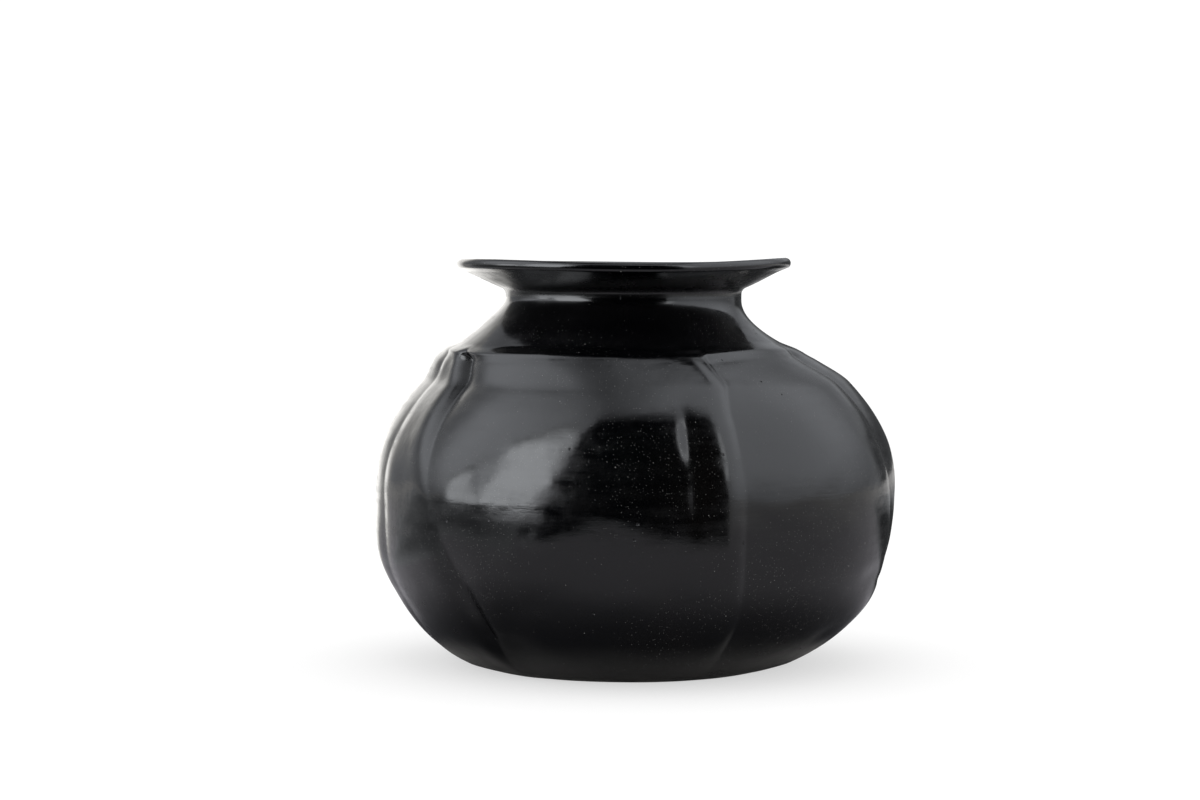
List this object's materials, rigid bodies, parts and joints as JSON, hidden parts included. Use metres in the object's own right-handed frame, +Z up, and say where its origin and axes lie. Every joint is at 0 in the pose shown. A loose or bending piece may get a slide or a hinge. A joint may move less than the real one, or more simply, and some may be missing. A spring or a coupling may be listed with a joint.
{
  "type": "lobed clay jar",
  "caption": "Hand-built lobed jar of burnished black clay with a short neck, a wide flared rim and a flat base.",
  "frame": {"origin": "centre of the flat base, on the surface the jar stands on", "axes": "+Z up along the neck, the front of the jar towards -Y, +X to the right of the front"},
  "size_m": [0.2797, 0.2768, 0.2153],
  "materials": {
    "burnished_clay": "stone-burnished, near mirror",
    "unburnished_clay": "smoke-blackened, matte"
  },
  "bodies": {
    "root": {"floor_disc": "unburnished_clay", "lower_course": "burnished_clay", "belly_course": "burnished_clay", "shoulder_course": "burnished_clay", "collar_coil": "burnished_clay", "neck_coil": "burnished_clay", "rim_flange": "burnished_clay", "lip_coil": "burnished_clay"}
  },
  "joints": []
}
